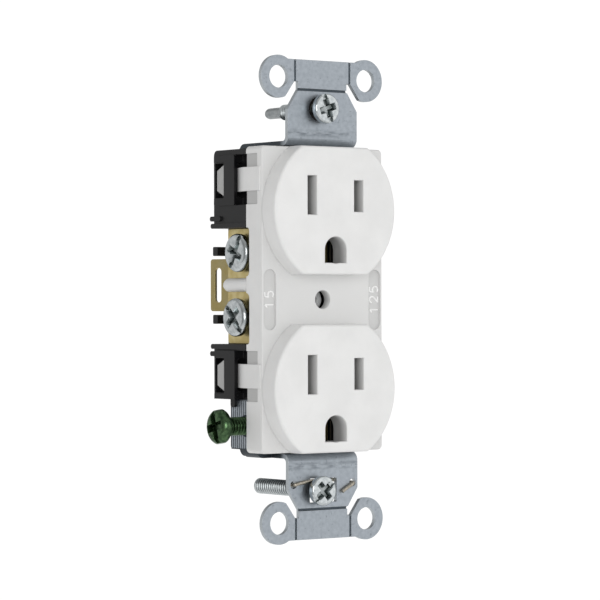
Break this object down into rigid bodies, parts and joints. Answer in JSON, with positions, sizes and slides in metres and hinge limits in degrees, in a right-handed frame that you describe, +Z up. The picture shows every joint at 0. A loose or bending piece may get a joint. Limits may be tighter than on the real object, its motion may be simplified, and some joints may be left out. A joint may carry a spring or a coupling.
{
  "type": "duplex wall outlet",
  "caption": "Side-wired duplex wall outlet: white face snapped on a black base, wrap-around strap with plaster ears, captive mounting screws, terminal screws and a green ground screw.",
  "frame": {"origin": "midway between the four plaster ear holes, on the rear face of the ear plates", "axes": "+X right seen from the front, +Y into the wall, +Z up"},
  "size_m": [0.0395, 0.027, 0.106],
  "materials": {
    "white_nylon": "moulded, smooth",
    "black_base": "moulded, satin",
    "zinc_strap": "zinc plated, bent sheet",
    "plain_brass": "stamped",
    "zinc_screw": "zinc plated",
    "brass_screw": "turned",
    "green_screw": "green dyed plating",
    "nickel_wire": "drawn wire",
    "fibre": "vulcanised fibre"
  },
  "bodies": {
    "outlet_body": {"face_cover": "white_nylon", "base_housing": "black_base", "mounting_strap": "zinc_strap", "neutral_bus": "plain_brass", "hot_bus": "plain_brass", "ground_contact_upper": "plain_brass", "ground_contact_lower": "plain_brass", "ground_rivet_upper": "zinc_screw", "ground_rivet_lower": "zinc_screw", "self_ground_wire": "nickel_wire", "cover_screw_post": "zinc_screw"},
    "neutral_screw_upper_body": {"neutral_screw_upper": "zinc_screw"},
    "neutral_screw_lower_body": {"neutral_screw_lower": "zinc_screw"},
    "hot_screw_upper_body": {"hot_screw_upper": "brass_screw"},
    "hot_screw_lower_body": {"hot_screw_lower": "brass_screw"},
    "ground_screw_body": {"ground_screw": "green_screw"},
    "mounting_screw_upper_body": {"mounting_screw_upper": "zinc_screw"},
    "mounting_screw_lower_body": {"mounting_screw_lower": "zinc_screw"},
    "retainer_body": {"upper_screw_retainer": "fibre"}
  },
  "joints": [
    {"name": "neutral_screw_upper_travel", "type": "slide", "parent": "outlet_body", "child": "neutral_screw_upper_body", "axis": [1, 0, 0], "range_m": [-0.002, 0.00055]},
    {"name": "neutral_screw_lower_travel", "type": "slide", "parent": "outlet_body", "child": "neutral_screw_lower_body", "axis": [1, 0, 0], "range_m": [-0.0015, 0.00105]},
    {"name": "hot_screw_upper_travel", "type": "slide", "parent": "outlet_body", "child": "hot_screw_upper_body", "axis": [-1, 0, 0], "range_m": [-0.002, 0.00055]},
    {"name": "hot_screw_lower_travel", "type": "slide", "parent": "outlet_body", "child": "hot_screw_lower_body", "axis": [-1, 0, 0], "range_m": [-0.0015, 0.00105]},
    {"name": "ground_screw_travel", "type": "slide", "parent": "outlet_body", "child": "ground_screw_body", "axis": [1, 0, 0], "range_m": [-0.001, 0.006]},
    {"name": "retainer_float", "type": "slide", "parent": "outlet_body", "child": "retainer_body", "axis": [1, 0, 0], "range_m": [-0.0012, 0.0024]},
    {"name": "upper_mounting_screw_travel", "type": "slide", "parent": "retainer_body", "child": "mounting_screw_upper_body", "axis": [0, 1, 0], "range_m": [-0.012, 0.001]},
    {"name": "lower_mounting_screw_travel", "type": "slide", "parent": "outlet_body", "child": "mounting_screw_lower_body", "axis": [0, 1, 0], "range_m": [-0.015, 0.0002]}
  ]
}
